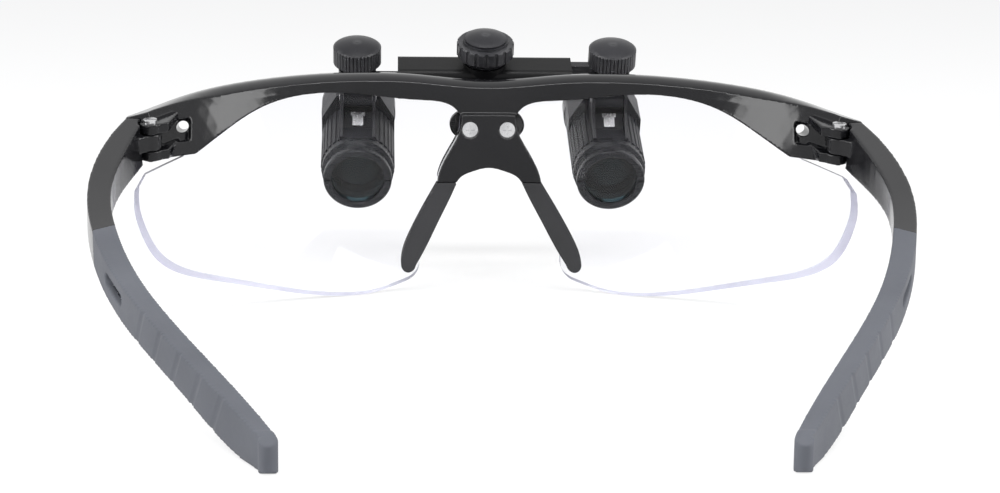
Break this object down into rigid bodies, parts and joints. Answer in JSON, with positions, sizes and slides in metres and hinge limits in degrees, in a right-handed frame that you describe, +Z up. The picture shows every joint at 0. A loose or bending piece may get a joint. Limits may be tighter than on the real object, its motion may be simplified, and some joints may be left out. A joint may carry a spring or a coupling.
{
  "type": "dental loupes",
  "caption": "Flip-up binocular dental loupes on a half-rim sports frame with folding temples and adjustable telescopes.",
  "frame": {"origin": "on the table, under the middle of the whole object", "axes": "+X to the wearer's left, -Y the way the wearer looks, +Z up from the table that the lens bottoms and temple tips stand on"},
  "size_m": [0.151, 0.201, 0.0503],
  "materials": {
    "frame_plastic": "polished injection moulding",
    "black_plastic": "satin, fine moulded texture",
    "black_metal": "black anodised",
    "rubber": "soft matt",
    "clear_lens": "clear polycarbonate, polished",
    "optical_glass": "coated optical glass",
    "steel": "bright",
    "brass": "machined",
    "washer": "plain"
  },
  "bodies": {
    "frame": {"front_frame": "frame_plastic", "lens_left": "clear_lens", "lens_right": "clear_lens", "nose_pad_left": "rubber", "nose_pad_right": "rubber", "hinge_pin_left": "steel", "hinge_pin_right": "steel", "mount_bracket": "black_plastic", "mount_screws": "steel", "flip_pin": "steel", "flip_washers": "washer"},
    "temple_left": {"temple_left": "frame_plastic", "temple_sleeve_left": "rubber", "temple_strip_left": "steel"},
    "temple_right": {"temple_right": "frame_plastic", "temple_sleeve_right": "rubber", "temple_strip_right": "steel"},
    "beam": {"beam_housing": "black_plastic", "beam_cover": "black_metal", "beam_cover_screws": "steel"},
    "pd_knob": {"pd_knob_ring": "black_plastic", "pd_knob_cap": "black_plastic", "pd_pinion_shaft": "brass"},
    "slide_left": {"slide_bar_left": "black_plastic"},
    "arm_left": {"arm_left": "black_plastic", "clamp_stud_left": "steel", "tilt_pin_left": "steel"},
    "clamp_left": {"clamp_knob_left": "black_plastic", "clamp_washer_left": "washer"},
    "telescope_left": {"barrel_housing_left": "black_plastic", "grip_ring_left": "black_plastic", "eyepiece_ring_left": "black_plastic", "eyepiece_lens_left": "optical_glass", "objective_ring_left": "black_plastic", "objective_lens_left": "optical_glass", "flint_lens_left": "optical_glass", "spacer_tube_left": "black_plastic", "spring_clip_left": "steel"},
    "slide_right": {"slide_bar_right": "black_plastic"},
    "arm_right": {"arm_right": "black_plastic", "clamp_stud_right": "steel", "tilt_pin_right": "steel"},
    "clamp_right": {"clamp_knob_right": "black_plastic", "clamp_washer_right": "washer"},
    "telescope_right": {"barrel_housing_right": "black_plastic", "grip_ring_right": "black_plastic", "eyepiece_ring_right": "black_plastic", "eyepiece_lens_right": "optical_glass", "objective_ring_right": "black_plastic", "objective_lens_right": "optical_glass", "flint_lens_right": "optical_glass", "spacer_tube_right": "black_plastic", "spring_clip_right": "steel"}
  },
  "joints": [
    {"name": "temple_fold_left", "type": "hinge", "parent": "frame", "child": "temple_left", "pos_m": [0.0663, -0.01896, 0.0326], "axis": [0, 0.2079, 0.9781], "range_deg": [0, 66]},
    {"name": "temple_fold_right", "type": "hinge", "parent": "frame", "child": "temple_right", "pos_m": [-0.0663, -0.01896, 0.0326], "axis": [0, -0.2079, -0.9781], "range_deg": [0, 78]},
    {"name": "flip_up", "type": "hinge", "parent": "frame", "child": "beam", "pos_m": [0, -0.06596, 0.0366], "axis": [-1, 0, 0], "range_deg": [-26, 40]},
    {"name": "pd_slide_left", "type": "slide", "parent": "beam", "child": "slide_left", "axis": [1, 0, 0], "range_m": [-0.001, 0.008]},
    {"name": "pd_slide_right", "type": "slide", "parent": "beam", "child": "slide_right", "axis": [-1, 0, 0], "range_m": [-0.001, 0.008]},
    {"name": "pd_knob_turn", "type": "hinge", "parent": "beam", "child": "pd_knob", "pos_m": [0, -0.07156, 0.0427], "axis": [0, 0.3987, 0.9171], "range_deg": [-287.48, 36.81]},
    {"name": "arm_yaw_left", "type": "hinge", "parent": "slide_left", "child": "arm_left", "pos_m": [0.0273, -0.07156, 0.0427], "axis": [0, 0.3987, 0.9171], "range_deg": [-8, 8]},
    {"name": "clamp_turn_left", "type": "hinge", "parent": "arm_left", "child": "clamp_left", "pos_m": [0.0273, -0.07156, 0.0427], "axis": [0, 0.3987, 0.9171], "range_deg": [0, 270]},
    {"name": "telescope_tilt_left", "type": "hinge", "parent": "arm_left", "child": "telescope_left", "pos_m": [0.0273, -0.07499, 0.03481], "axis": [-1, 0, 0], "range_deg": [-14, 14]},
    {"name": "arm_yaw_right", "type": "hinge", "parent": "slide_right", "child": "arm_right", "pos_m": [-0.0273, -0.07156, 0.0427], "axis": [0, 0.3987, 0.9171], "range_deg": [-8, 8]},
    {"name": "clamp_turn_right", "type": "hinge", "parent": "arm_right", "child": "clamp_right", "pos_m": [-0.0273, -0.07156, 0.0427], "axis": [0, 0.3987, 0.9171], "range_deg": [0, 270]},
    {"name": "telescope_tilt_right", "type": "hinge", "parent": "arm_right", "child": "telescope_right", "pos_m": [-0.0273, -0.07499, 0.03481], "axis": [-1, 0, 0], "range_deg": [-14, 14]}
  ],
  "couplings": [
    {"joint": "pd_slide_right", "follows": "pd_slide_left", "ratio": 1},
    {"joint": "pd_knob_turn", "follows": "pd_slide_left", "rad_per_m": -625}
  ]
}
